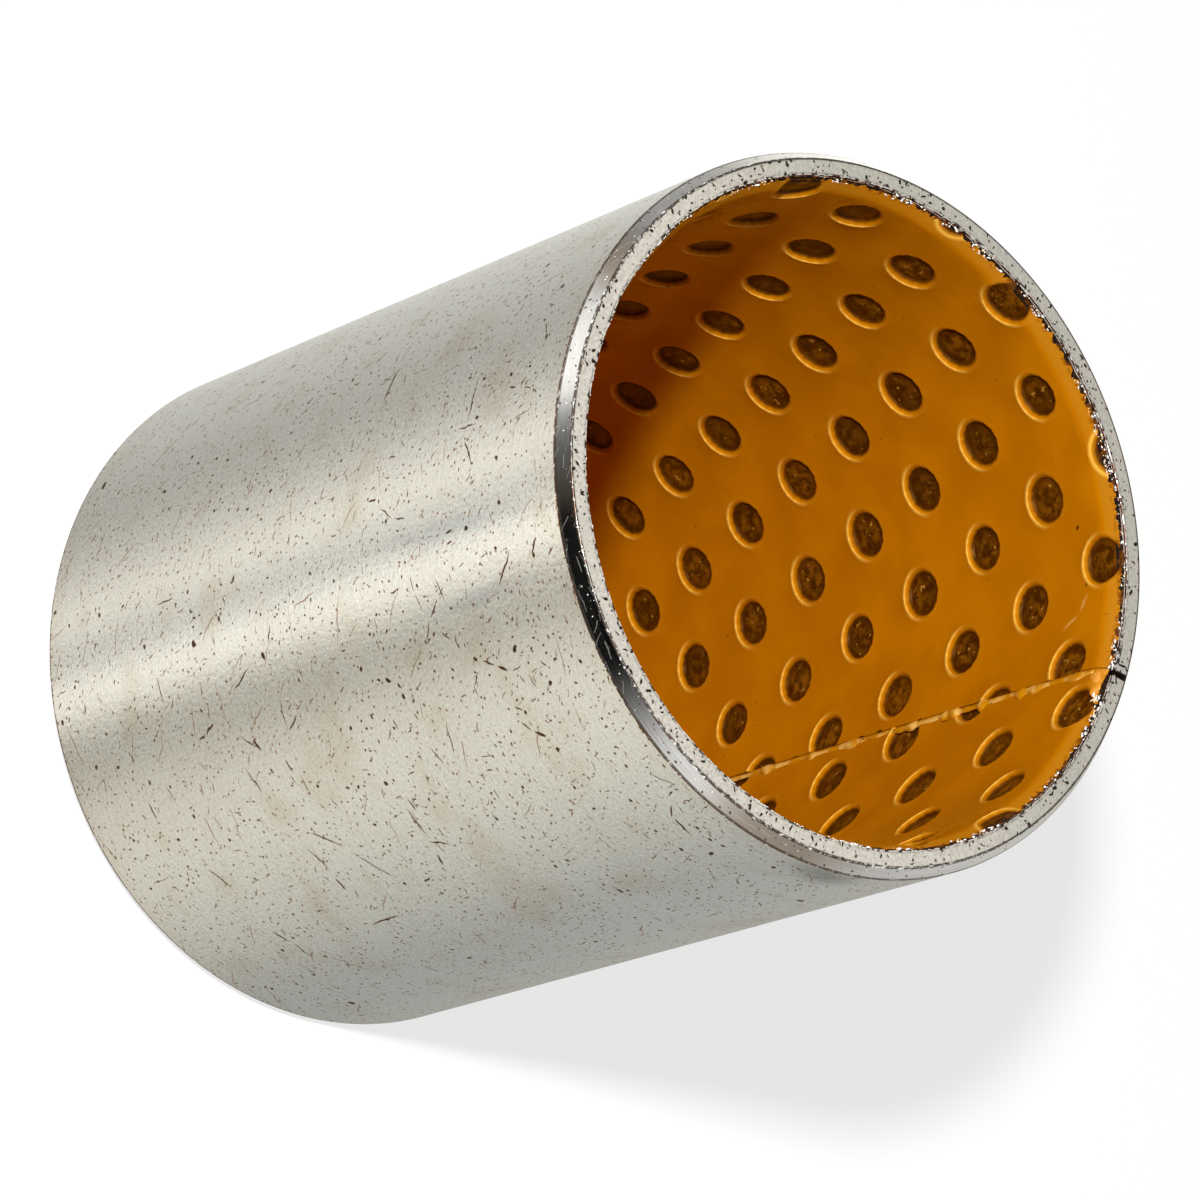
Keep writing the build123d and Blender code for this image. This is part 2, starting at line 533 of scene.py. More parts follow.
dents = (
    (-0.4, 46.75, 0.42, 0.24, 20), (8.95, 41.3, 0.4, 0.28, 80), (15.75, 43.0, 0.55, 0.28, -60),
    (17.4, 47.5, 0.30, 0.28, 0), (18.0, 44.5, 0.40, 0.24, -60), (15.6, 39.6, 0.36, 0.24, 30),
    (15.15, 31.9, 0.42, 0.26, 60), (15.6, 32.65, 0.40, 0.20, 30), (15.0, 31.2, 0.40, 0.20, 60),
    (16.7, 29.4, 0.35, 0.18, 20), (11.7, 21.7, 0.50, 0.36, 30), (9.75, 15.45, 0.46, 0.40, 0),
    (7.0, 19.7, 0.50, 0.20, -18), (4.2, 22.05, 0.20, 0.20, 0), (3.25, 20.5, 0.40, 0.18, 75),
    (2.45, 16.9, 0.30, 0.20, 0), (-0.8, 16.7, 0.42, 0.24, 70), (-1.45, 13.3, 0.30, 0.24, 50),
    (-2.25, 12.2, 0.36, 0.26, 0), (-0.3, 10.6, 0.42, 0.22, 75), (6.2, 8.45, 0.38, 0.24, -60),
    (-2.9, 2.5, 0.70, 0.40, 10), (19.0, 4.05, 0.28, 0.26, 0), (29.65, 46.4, 0.32, 0.22, -20),
    (25.6, 44.35, 0.26, 0.26, 0), (29.75, 43.85, 0.36, 0.26, -20), (25.4, 41.35, 0.24, 0.24, 0),
    (22.9, 37.8, 0.28, 0.20, -10), (24.25, 34.0, 0.36, 0.22, -20), (28.2, 35.8, 0.40, 0.18, 40),
    (31.6, 36.15, 0.50, 0.20, -15), (30.7, 45.1, 0.50, 0.24, -75), (35.4, 5.7, 0.70, 0.40, -20),
    (38.6, 42.7, 0.80, 0.35, -30), (28.6, 18.6, 0.36, 0.30, 0), (26.5, 22.9, 0.28, 0.24, 0),
    (31.5, 3.2, 0.42, 0.24, -50), (20.1, 25.4, 0.34, 0.20, -60), (7.9, 15.4, 0.26, 0.20, 0),
    (-3.95, 46.0, 0.34, 0.26, 20), (33.95, 19.2, 0.30, 0.40, 0), (9.7, 3.2, 0.28, 0.22, 0),
)

tin = Paint("tinned_steel_outside")
sheet = tin.unrolled(outer_radius)
wavering = tin.stirred(sheet, 0.5, 0.9)
barely_wavering = tin.stirred(sheet, 1.3, 0.35)
curling = tin.stirred(sheet, 2.2, 0.38)
# worm-like texture of the plating
worms = tin.noise(3.0, 2.0, 0.6, curling)
worm_lines = (worms - 0.5).absolute().step(0.0, 0.045, 1.0, 0.0)
grain = tin.noise(5.2, 2.0, 0.65, sheet)
cloudiness = tin.noise(0.16, where=sheet).step(0.35, 0.65)
crowded = cloudiness * 0.40 + 0.60
specks = tin.marks(barely_wavering, 0.56, 0.27, 0.14, 0.50, lean=0.8, spread=2.4)
more_specks = tin.marks(sheet, 0.80, 0.21, 0.17, 0.45, lean=0.4, spread=2.6, shift=131.0)
curls = tin.marks(curling, 1.05, 0.80, 0.095, 0.45, lean=0.7, spread=2.2, shift=31.0)
pits = tin.marks(sheet, 2.4, 0.38, 0.28, 0.40, shift=57.0)
loose_scratches = tin.marks(wavering, 3.0, 3.0, 0.085, 0.50, lean=0.6, spread=1.8, shift=11.0)
hand_gouges = tin.placed(barely_wavering, gouges)
hand_scratches = tin.placed(barely_wavering, fine_scratches)
hand_scratches = hand_scratches * worms.step(0.30, 0.42)
hand_dents = tin.placed(barely_wavering, dents, 0.7)
stains = tin.noise(0.18, 2.0, 0.6, wavering).step(0.52, 0.70)
rust_streaks = tin.placed(wavering, (
    (14.9, 33.0, 8.0, 1.6, 76), (25.0, 43.3, 3.6, 1.4, 20), (9.1, 10.8, 5.6, 1.5, 96),
    (14.0, 30.0, 6.0, 1.2, 80), (6.0, 17.2, 7.5, 2.2, -8), (19.8, 41.0, 4.6, 1.8, 12),
    (28.3, 40.0, 5.5, 1.2, 96), (3.4, 30.5, 5.0, 1.2, 84), (11.2, 22.3, 4.2, 2.0, -35),
    (28.8, 18.9, 2.0, 1.4, 30), (21.0, 16.0, 9.0, 3.0, 10), (7.9, 15.0, 5.0, 0.8, 70),
), 1.0)
# a darker bluish streak below the upper end: painted reflection of a dark band of the room
painted_dark_reflection_streak = tin.placed(wavering, ((8.6, 39.5, 20.0, 1.9, 88), (12.6, 41.5, 14.0, 1.4, 90)), 0.0)
# dirt caught along the edge of the chamfer at either end
chamfer_edge = bush_length / 2 - outer_chamfer_along
end_line = tin.from_middle().step(chamfer_edge - 0.13, chamfer_edge - 0.03) * worms.step(0.34, 0.46)
end_haze = tin.from_middle().step(bush_length / 2 - 2.6, bush_length / 2 - 0.9)
# a dark patch near the upper end: painted dark reflection
painted_dark_reflection_patch = tin.placed(wavering, ((35.8, 48.2, 7.0, 4.4, -14),), 0.0)
dirt = most(specks * crowded, more_specks * crowded, curls * 0.75, loose_scratches * 0.6,
            hand_scratches, end_line, pits, hand_gouges, hand_dents)
tone = grain.step(0.32, 0.68).blend(rgb(0.600, 0.595, 0.560), rgb(0.745, 0.740, 0.700))
tone = (worm_lines * 0.36).blend(tone, rgb(0.92, 0.915, 0.87))
tone = (cloudiness * 0.22).blend(tone, rgb(0.78, 0.78, 0.76))
# painted reflection: the darker bluish streak
tone = (painted_dark_reflection_streak * 0.60).blend(tone, rgb(0.47, 0.495, 0.52))
tone = most(stains * 0.26, rust_streaks * grain.step(0.2, 0.6) * 0.72, end_haze * 0.12).blend(
    tone, rgb(0.48, 0.37, 0.22))
# painted reflection: the dark patch near the upper end
tone = (painted_dark_reflection_patch * 0.75).blend(tone, rgb(0.16, 0.15, 0.13))
# painted glints: the grain's highest specks are made white
tone = grain.step(0.735, 0.77).blend(tone, rgb(1.0, 1.0, 0.98))
# a mark is rusty at its edges and black at its heart
tone = dirt.step(0.0, 0.60, 0.0, 0.9).blend(tone, rgb(0.31, 0.150, 0.056))
tone = dirt.step(0.56, 0.92, 0.0, 0.88).blend(tone, rgb(0.035, 0.018, 0.009))
tin_plate = tin.finish(
    Base_Color=tone, Metallic=1.0,
    Roughness=grain.step(0.3, 0.7, 0.24, 0.33) + dirt * 0.25,
    Normal=tin.bump(worms * 0.7 + grain * 0.3, 0.024, 0.9),
)

turned = Paint("turned_chamfer")
drawn_round = turned.flat_place(turned.bearing() * 3.0, turned.z * 26.0)
grooves = turned.noise(1.0, 4.0, 0.65, drawn_round)
around_it = turned.unrolled(outer_radius)
chips = turned.marks(around_it, 0.50, 0.24, 0.13, 0.50, lean=0.2, spread=1.4)
sparks = turned.marks(around_it, 0.50, 0.11, 0.07, 0.30, spread=2.6, shift=19.0)
wandering = turned.stirred(around_it, 0.6, 0.5)
tool_lines = turned.marks(wandering, 0.9, 2.4, 0.055, 0.75, lean=0.15, spread=0.9, shift=29.0)
below_end = bush_length / 2 - turned.from_middle()
edge_noise = turned.noise(3.2, 3.0, 0.7)
near_edge = below_end.step(0.05, 0.12, 1.0, 0.0)
near_line = near_edge * edge_noise.step(0.42, 0.50)
far_line = below_end.step(0.67, 0.74) * edge_noise.step(0.32, 0.44)
on_outside = turned.far_out(turned.flat_place(turned.x, turned.y)) > 18.8
white_dots = near_edge * edge_noise.step(0.36, 0.42, 1.0, 0.0)
torn_strip = (1.0 - on_outside) * turned.noise(1.6, 3.0, 0.7).step(0.40, 0.50)
film = turned.placed(around_it, (
    (31.6, bush_length - 0.4, 13.0, 5.0, 0), (-5.0, bush_length - 0.4, 6.0, 2.5, 0),
    (9.3, bush_length - 0.4, 5.0, 4.0, 0),
), 0.2)
chamfer_tone = grooves.step(0.3, 0.7).blend(rgb(0.62, 0.60, 0.56), rgb(0.84, 0.825, 0.78))
chamfer_tone = (film * 0.9).blend(chamfer_tone, rgb(0.66, 0.55, 0.43))
chamfer_dirt = most(
    chips * on_outside * 0.85, near_line * on_outside * 0.9, far_line * on_outside * 0.8, torn_strip)
chamfer_tone = chamfer_dirt.blend(chamfer_tone, rgb(0.060, 0.024, 0.013))
# painted glints: sparks, white dots and tool lines are coloured white and made less metallic
painted_glints = most(sparks, white_dots, tool_lines * 0.22) * on_outside
turned_steel = turned.finish(
    Base_Color=painted_glints.blend(chamfer_tone, rgb(1.0, 1.0, 1.0)),
    Metallic=1.0 - painted_glints * 0.75,
    Roughness=grooves.step(0.3, 0.7, 0.08, 0.15) + most(sparks, chamfer_dirt) * 0.25,
    Normal=turned.bump(grooves + sparks * 2.0 - chips * 2.0, 0.0010, 0.8),
)

faced = Paint("faced_end")
flat_end = faced.flat_place(faced.x, faced.y)
end_grain = faced.noise(6.0, 2.0, 0.65)
end_worms = faced.noise(3.6, 2.0, 0.55, faced.stirred(faced.place, 2.5, 0.5))
nicks = faced.marks(faced.stirred(flat_end, 2.6, 0.3), 0.66, 0.46, 0.16, 0.55, lean=2.2, spread=2.8)
small_nicks = faced.marks(flat_end, 0.48, 0.22, 0.17, 0.50, shift=91.0)
holes = faced.marks(faced.stirred(flat_end, 3.0, 0.3), 1.05, 0.40, 0.27, 0.60, shift=23.0)
from_axis = faced.far_out(flat_end)
rim_noise = faced.noise(2.8, 3.0, 0.75)
# painted shade: the far half of the end face is darker, and its dark outer line shows more there
painted_far_side_shade = (faced.y - faced.x).step(-8.0, 12.0)
outer_line = from_axis.step(18.86, 18.95) * (rim_noise + painted_far_side_shade * 0.16).step(0.40, 0.50)
burr_line = (from_axis - 18.19).absolute().step(0.03, 0.08, 1.0, 0.0)
burr_line = burr_line * faced.noise(4.0).step(0.36, 0.60)
edge_notches = from_axis.step(18.14, 18.24, 1.0, 0.0) * faced.noise(2.4, 1.0).step(0.55, 0.60)
# painted highlight: a thin pale line along the face's inner edge
painted_inner_glint = from_axis.step(18.10, 18.13, 1.0, 0.0)
gold = faced.noise(1.6, 1.0).step(0.6, 0.7)
end_cracks = faced.placed(faced.stirred(flat_end, 3.0, 0.12), (
    (-0.53, 18.55, 0.80, 0.20, 98), (-0.42, 18.86, 0.35, 0.16, 40), (-0.66, 18.22, 0.50, 0.16, 0),
    (-1.25, 18.20, 1.1, 0.10, 3)), 0.5)
end_tone = end_grain.step(0.3, 0.7).blend(rgb(0.450, 0.425, 0.375), rgb(0.600, 0.575, 0.510))
end_tone = end_worms.step(0.44, 0.60, 0.0, 0.35).blend(end_tone, rgb(0.74, 0.715, 0.645))
# painted shade on the far half of the end face
end_tone = (painted_far_side_shade * 0.42).blend(end_tone, rgb(0.27, 0.258, 0.230))
end_tone = (painted_inner_glint * 0.5).blend(end_tone, rgb(0.95, 0.94, 0.90))
end_dirt = most(
    nicks, small_nicks * 0.9, holes, outer_line * 0.9, burr_line * 0.4, edge_notches, end_cracks)
end_tone = end_dirt.blend(end_tone, gold.blend(rgb(0.020, 0.012, 0.009), rgb(0.12, 0.045, 0.022)))
faced_steel = faced.finish(
    Base_Color=end_tone,
    Metallic=0.55 + end_dirt * 0.4,
    Roughness=end_grain.step(0.3, 0.7, 0.40, 0.52),
    Normal=faced.bump(end_worms * 0.4 + end_grain * 0.2, 0.012, 0.5),
)

shear = Paint("sheared_lip")
shear_rust = shear.noise(2.0, 3.0, 0.7)
sheared_lip = shear.finish(
    Base_Color=shear_rust.step(0.45, 0.7).blend(rgb(0.004, 0.003, 0.002), rgb(0.025, 0.011, 0.006)),
    Roughness=shear_rust.step(0.3, 0.7, 0.6, 0.8), Specular_IOR_Level=0.1,
    Normal=shear.bump(shear_rust, 0.03, 0.7),
)
steel_shell = new_piece("steel_shell", steel_bm, tin_plate, turned_steel, faced_steel, sheared_lip)
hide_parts("steel_backing")


# ---------------------------------------------------------------------------
# Bronze layer. Copper-tin powder sintered on the steel; the bore chamfer cuts
# through it at each end and leaves a porous ring with loose grains. The ring is
# painted near black, partly painted shade, and the grains near white, partly painted glints.
# ---------------------------------------------------------------------------
bronze_bore_radius = 17.85
bronze_set_back = 0.07
bronze_turns = 240
bronze_section = end_to_end([
    (radius, bush_length - chamfer_height(radius) - bronze_set_back)
    for radius in (bronze_bore_radius, steel_bore_radius)
])
bronze_bm = bmesh.new()
spun_ring(bronze_bm, bronze_section, bronze_turns)
grain_bm = bmesh.new()
bmesh.ops.create_icosphere(grain_bm, subdivisions=1, radius=1.0)
grain_mesh = bpy.data.meshes.new("grain")
grain_bm.to_mesh(grain_mesh)
grain_bm.free()
chance = random.Random(7)
# at each end: how many, innermost and outermost seat, least and extra size, and
# whether they lie only where the skin is torn away beside the seam
grain_kinds = (
    (210, 17.90, 18.04, 0.055, 0.050, False),
    (420, 17.86, 18.06, 0.028, 0.032, False),
    (16, 17.72, 17.95, 0.05, 0.05, True),
)
seam_margin = seam_gap / bore_radius
for count, inner_seat, outer_seat, least, extra, beside_seam in grain_kinds:
    placed = 0
    while placed < 2 * count:
        bearing_here = pi / 2 + seam_margin + chance.random() * (2 * pi - 2 * seam_margin)
        if beside_seam:
            bearing_here = pi / 2 - chance.uniform(0.40, 1.95) / bore_radius
        crowding = noise.noise(Vector((cos(bearing_here) * 9, sin(bearing_here) * 9, 4.0)))
        if chance.random() > 0.40 + 1.6 * crowding:
            continue
        seat_radius = inner_seat + chance.random() * (outer_seat - inner_seat)
        size = least + extra * chance.random() ** 2
        depth = chamfer_height(seat_radius) + 0.02
        first = len(bronze_bm.verts)
        bronze_bm.from_mesh(grain_mesh)
        bronze_bm.verts.ensure_lookup_table()
        grain_verts = bronze_bm.verts[first:]
        stretch = Matrix.Diagonal((size * 0.8, size * (0.8 + 1.3 * chance.random()),
                                   size * (0.6 + 0.5 * chance.random()), 1.0))
        seat = Vector((seat_radius * cos(bearing_here), seat_radius * sin(bearing_here),
                       bush_length - depth if placed % 2 else depth))
        tumbled = Matrix.Rotation(bearing_here, 4, "Z") @ Matrix.Rotation(chance.uniform(-0.6, 0.6), 4, "X")
        settled = Matrix.Translation(seat) @ tumbled @ stretch
        bmesh.ops.transform(bronze_bm, matrix=settled, verts=grain_verts)
        for face in {face for vert in grain_verts for face in vert.link_faces}:
            face.material_index = 1
            face.smooth = True
        placed += 1
lean_seam(bronze_bm)

sinter = Paint("sintered_bronze")
pores = sinter.noise(13.0, 3.0, 0.7)
patches = sinter.noise(1.1)
# near black: the pores' own darkness and painted shade of the ring's recess
bronze_tone = pores.step(0.45, 0.72).blend(rgb(0.003, 0.002, 0.0015), rgb(0.07, 0.026, 0.010))
bronze_tone = patches.step(0.54, 0.62, 0.0, 0.55).blend(bronze_tone, rgb(0.20, 0.060, 0.008))
bronze_base = sinter.finish(
    Base_Color=bronze_tone, Roughness=pores.step(0.3, 0.7, 0.85, 0.55), Specular_IOR_Level=0.12,
    Normal=sinter.bump(pores, 0.05, 1.0),
)
# the grains are coloured near white, some golden, and only partly metallic: painted glints on real grains
bright = Paint("bronze_grain")
which = bright.noise(2.6, 1.0)
bright_grain = bright.finish(
    Base_Color=which.step(0.56, 0.64).blend(rgb(0.95, 0.945, 0.92), rgb(0.90, 0.66, 0.34)),
    Metallic=0.35, Roughness=bright.noise(9.0).step(0.3, 0.7, 0.15, 0.40),
)
bronze_ring = new_piece("bronze_ring", bronze_bm, bronze_base, bright_grain)
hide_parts("bronze_layer")


# ---------------------------------------------------------------------------
# Polymer lining. An amber acetal skin rolled on to the flat strip together with
# its grease indents, which the seam and the chamfers then cut through. It is
# built flat, x round the bore from the seam and y along it, then wrapped.
# ---------------------------------------------------------------------------
strip_length = 2 * pi * bore_radius
seam_shift = 0.12
strip_end_gap = 0.03
first_indent = Vector((0.89, 4.75, 0.0))
next_in_row = Vector((1.386, 5.72, 0.0))
next_row = Vector((5.545, 1.99, 0.0))
indent_sides = 14
floor_radius = 1.12
floor_depth = 0.25
# radius and height of each ring from the floor up the slope and over the raised lip
indent_rings = ((1.36, -0.02), (1.47, 0.046), (1.60, 0.032), (1.90, 0.0))

cell_bm = bmesh.new()
bmesh.ops.create_circle(cell_bm, cap_ends=True, segments=indent_sides, radius=floor_radius)
bmesh.ops.rotate(cell_bm, verts=cell_bm.verts, cent=(0, 0, 0), matrix=Matrix.Rotation(radians(2.0), 3, "Z"))
bmesh.ops.translate(cell_bm, verts=cell_bm.verts, vec=(0, 0, -floor_depth))
rim = cell_bm.edges[:]
for new_radius, new_height in indent_rings:
    made = bmesh.ops.extrude_edge_only(cell_bm, edges=rim)["geom"]
    rim = [part for part in made if isinstance(part, bmesh.types.BMEdge)]
    for vert in {vert for edge in rim for vert in edge.verts}:
        flat_reach = hypot(vert.co.x, vert.co.y)
        vert.co.x *= new_radius / flat_reach
        vert.co.y *= new_radius / flat_reach
        vert.co.z = new_height
    # the ring edges only, without the spokes between this ring and the last
    rim = [edge for edge in rim if abs(edge.verts[0].co.z - edge.verts[1].co.z) < 1e-6]
# the lip is pushed up higher on the lower side of the indent
for vert in cell_bm.verts:
    if vert.co.z > 0:
        vert.co.z *= 1 - 0.75 * vert.co.y / hypot(vert.co.x, vert.co.y)
grid = bmesh.ops.create_grid(cell_bm, x_segments=4, y_segments=4, size=0.5)["verts"]
bmesh.ops.delete(cell_bm, geom=[vert for vert in grid if not vert.is_boundary], context="VERTS")
outline = [vert for vert in grid if vert.is_valid]
for vert in outline:
    vert.co = next_row * vert.co.x + next_in_row * vert.co.y
outline_edges = [edge for edge in cell_bm.edges if edge.is_wire]
bmesh.ops.bridge_loops(cell_bm, edges=rim + outline_edges)
reach_layer = cell_bm.loops.layers.uv.new("indent")
for face in cell_bm.faces:
    for loop in face.loops:
        loop[reach_layer].uv = loop.vert.co.xy
cell_mesh = bpy.data.meshes.new("indent_cell")
cell_bm.to_mesh(cell_mesh)
cell_bm.free()

lining_bm = bmesh.new()
wobble = random.Random(3)
for row in range(-12, 32):
    for place_in_row in range(-14, 14):
        centre = first_indent + next_row * row + next_in_row * place_in_row
        if not (-5 < centre.x < strip_length + 5 and -5 < centre.y < bush_length + 5):
            continue
        first = len(lining_bm.verts)
        lining_bm.from_mesh(cell_mesh)
        lining_bm.verts.ensure_lookup_table()
        cell_verts = lining_bm.verts[first:]
        drift = Vector((wobble.uniform(-0.07, 0.07), wobble.uniform(-0.07, 0.07), 0.0))
        stamp = 1.0 + wobble.uniform(-0.03, 0.03)
        for vert in cell_verts:
            if hypot(vert.co.x, vert.co.y) < 2.0:
                vert.co = Vector((vert.co.x * stamp, vert.co.y * stamp, vert.co.z)) + drift
        bmesh.ops.translate(lining_bm, verts=cell_verts, vec=centre)
bpy.data.meshes.remove(cell_mesh)
bmesh.ops.remove_doubles(lining_bm, verts=lining_bm.verts, dist=0.002)

rise = bore_chamfer_depth / bore_chamfer_along
low_corner = bore_chamfer_along
high_corner = bush_length - bore_chamfer_along
# the skin is smeared on over the bronze, nearly to the steel
smeared_radius = 17.915
smeared_to = (smeared_radius - bore_radius) / rise


def cut_strip(bm, place, outward, clear=True):
    """Cuts the flat strip straight through, and clears what lies outward unless told not to."""
    bmesh.ops.bisect_plane(
        bm, geom=bm.verts[:] + bm.edges[:] + bm.faces[:], dist=1e-5,
        plane_co=place, plane_no=outward, clear_outer=clear,
    )


cut_strip(lining_bm, (seam_shift + strip_end_gap, 0, 0), (-1, 0, 0))
cut_strip(lining_bm, (strip_length + seam_shift - strip_end_gap, 0, 0), (1, 0, 0))
# rows of cuts that the bore chamfer and the torn edge are shaped with
edge_rows = (smeared_to - 0.30, smeared_to - 0.15, smeared_to)
for past_corner in (-0.45, -0.28, -0.14, 0.0, 0.14, 0.28) + edge_rows:
    cut_strip(lining_bm, (0, high_corner + past_corner, 0), (0, 1, 0), past_corner == smeared_to)
    cut_strip(lining_bm, (0, low_corner - past_corner, 0), (0, -1, 0), past_corner == smeared_to)
bmesh.ops.dissolve_degenerate(lining_bm, edges=lining_bm.edges, dist=0.001)


def past_corner_at(height):
    return max(height - high_corner, low_corner - height)


row_edges = []
for edge in lining_bm.edges:
    heights = [past_corner_at(vert.co.y) for vert in edge.verts]
    if abs(heights[0] - heights[1]) < 1e-4 and min(abs(heights[0] - row) for row in edge_rows) < 1e-3:
        row_edges.append(edge)
bmesh.ops.subdivide_edges(lining_bm, edges=row_edges, cuts=7, use_grid_fill=True)
# the edge is ragged all round, and torn away beside the seam
torn_from = -1.9
torn_to = -0.45
for vert in lining_bm.verts:
    past = past_corner_at(vert.co.y)
    if past > edge_rows[1] - 0.01:
        which_end = vert.co.y // (bush_length / 2)
        ragged = noise.noise(Vector((vert.co.x * 2.4, 5.0, which_end)))
        ragged += 0.6 * noise.noise(Vector((vert.co.x * 6.5, 9.0, which_end)))
        share = 1.0 if past > edge_rows[2] - 0.01 else 0.35
        drawn = 0.25 * ragged
        around_seam = vert.co.x if vert.co.x < strip_length / 2 else vert.co.x - strip_length
        if torn_from < around_seam < torn_to:
            drawn -= 0.26 * min(1.0, (around_seam - torn_from) / 0.3)
        vert.co.y += share * drawn * (1 if vert.co.y > bush_length / 2 else -1)


def add_back(bm):
    """Doubles an open sheet and joins the two along its edges; returns the new side's vertices."""
    made = bmesh.ops.extrude_face_region(bm, geom=bm.faces[:], use_keep_orig=True)["geom"]
    return {part for part in made if isinstance(part, bmesh.types.BMVert)}


corner_softness = 0.16


def skin_radius(height, standing=0.0):
    """Radius of the skin where its indents or lip stand this high, softly cut by the chamfer."""
    sheet_radius = bore_radius - standing
    cone_radius = bore_radius + past_corner_at(height) * rise
    return (sheet_radius + cone_radius + hypot(sheet_radius - cone_radius, corner_softness)) / 2


def wrapped(across, height, radius):
    """A place on the flat strip, rolled up to this radius with its ends at the seam."""
    bearing_here = pi / 2 + across / bore_radius
    return Vector((radius * cos(bearing_here), radius * sin(bearing_here), height))


def add_torn_part(torn_bm, root_depth, slot_number):
    """Backs a flat sheet that grows this deep out of the skin, and joins it to the lining."""
    back = add_back(torn_bm)
    for vert in torn_bm.verts:
        standing = -root_depth if vert in back else vert.co.z
        vert.co = wrapped(vert.co.x, vert.co.y, skin_radius(vert.co.y) - standing)
    bmesh.ops.recalc_face_normals(torn_bm, faces=torn_bm.faces)
    for face in torn_bm.faces:
        face.smooth = True
        face.material_index = slot_number
    torn_mesh = bpy.data.meshes.new("torn")
    torn_bm.to_mesh(torn_mesh)
    torn_bm.free()
    lining_bm.from_mesh(torn_mesh)
    bpy.data.meshes.remove(torn_mesh)


thinnest = 0.03
back_verts = add_back(lining_bm)
for vert in lining_bm.verts:
    radius = skin_radius(vert.co.y, vert.co.z)
    if vert in back_verts:
        radius = max(bronze_bore_radius, radius + thinnest)
    vert.co = wrapped(vert.co.x, vert.co.y, radius)
for face in lining_bm.faces:
    face.smooth = True
for edge in lining_bm.edges:
    if len(edge.link_faces) == 2 and edge.calc_face_angle() > 0.75:
        edge.smooth = False
bmesh.ops.recalc_face_normals(lining_bm, faces=lining_bm.faces)

# the ragged lip that the butting strip end squeezed up all along the seam
ridge_length = bush_length - 2.2
ridge_bm = bmesh.new()
bmesh.ops.create_grid(ridge_bm, x_segments=6, y_segments=330, size=0.5)
# height, half length and size of each lump on it
lumps = (
    (44.1, 0.7, 0.7), (43.0, 0.5, 1.0), (39.7, 0.4, 0.9), (37.3, 0.4, 0.8), (36.4, 0.3, 0.6),
    (33.5, 0.5, 0.4), (28.2, 0.6, 0.6), (24.6, 0.4, 0.5), (20.5, 0.7, 0.6), (15.0, 0.5, 0.5),
    (8.5, 0.6, 0.6), (47.6, 0.9, 0.6),
)
for vert in ridge_bm.verts:
    side = vert.co.x * 2
    height = bush_length / 2 + vert.co.y * ridge_length
    swollen = 0.0
    for lump_height, lump_length, lump_size in lumps:
        swollen = max(swollen, lump_size * max(0.0, 1 - ((height - lump_height) / lump_length) ** 2))
    thin = (0.5 + noise.noise(Vector((height * 1.1, 2.0, 0.5)))) * (1.0 if height < 45.5 else 0.5)
    half_width = 0.12 + 0.24 * swollen + 0.08 * thin
    crest = (1 - abs(side) ** 2.2) * (0.045 + 0.045 * thin + 0.13 * swollen)
    crest += 0.02 * (1 - abs(side)) * noise.noise(Vector((height * 4.0, side * 2, 8.0)))
    wander = 0.05 * noise.noise(Vector((height * 2.2, side, 1.0)))
    wander += 0.05 * noise.noise(Vector((height * 0.5, 4.0, 0)))
    vert.co = Vector((-0.10 - 0.08 * swollen + half_width * side + wander, height, crest - 0.012))
add_torn_part(ridge_bm, 0.12, 1)

# a tongue of skin torn up beside the seam by the chamfering tool
tongue_bm = bmesh.new()
bmesh.ops.create_grid(tongue_bm, x_segments=20, y_segments=14, size=0.5)
# its lower edge, as places across and up the strip
tongue_edge = (
    (-1.90, 49.50), (-1.55, 49.12), (-1.10, 48.92), (-0.65, 48.78), (-0.31, 48.72), (-0.10, 48.95),
    (0.10, 49.40),
)
for vert in tongue_bm.verts:
    share_across = vert.co.x + 0.5
    share_up = vert.co.y + 0.5
    across_here = -1.90 + 2.00 * share_across
    for (left, low_left), (right, low_right) in zip(tongue_edge, tongue_edge[1:]):
        if left <= across_here <= right:
            lowest = low_left + (low_right - low_left) * (across_here - left) / (right - left)
    highest = 49.52 + 0.20 * share_across ** 2 + 0.10 * noise.noise(Vector((across_here * 5, 1, 1)))
    lowest += 0.05 * noise.noise(Vector((across_here * 5, 6, 1)))
    height = lowest + (max(highest, lowest + 0.05) - lowest) * share_up
    # it grows out of the skin below and stands free at its upper edge
    swell = (0.13 + 0.09 * noise.noise(Vector((across_here * 2.2, height * 3.0, 5.0)))) * share_up ** 0.7
    swell *= min(1.0, 5 * min(share_across, 1 - share_across) + 0.1)
    vert.co = Vector((across_here, height, swell - 0.01))
add_torn_part(tongue_bm, 0.05, 2)

amber = Paint("amber_polymer")
# how far out from the middle of its indent each place lies
from_indent = amber.node("ShaderNodeUVMap", {"uv_map": "indent"})
reach = amber.far_out(from_indent)
downward = from_indent.parts()[1] / reach * -1.0
inside = amber.unrolled(bore_radius)
cloudy = amber.noise(0.24)
fine = amber.noise(2.8)
motes = amber.marks(inside, 2.6, 0.22, 0.12, 0.35, shift=41.0)
seam_at = pi * bore_radius
blemishes = amber.placed(inside, (
    (seam_at - 0.52, 38.7, 0.9, 0.12, 88), (seam_at - 0.50, 36.6, 0.8, 0.12, 92),
    (0.18 - seam_at, 30.6, 0.6, 0.24, 90), (0.16 - seam_at, 29.0, 0.5, 0.22, 90),
    (0.14 - seam_at, 34.2, 0.5, 0.16, 90), (0.14 - seam_at, 23.0, 0.7, 0.14, 90),
    (8.6 - seam_at, 46.9, 0.35, 0.25, 30), (5.3 - seam_at, 47.4, 0.30, 0.16, 0),
))
smear = amber.placed(amber.stirred(inside, 1.0, 0.4), (
    (3.4 - seam_at, 46.2, 1.6, 0.35, 60), (4.3 - seam_at, 47.2, 1.5, 0.30, 35)), 0.2)
amber_tone = cloudy.step(0.35, 0.65).blend(rgb(0.470, 0.156, 0.0003), rgb(0.532, 0.182, 0.0005))
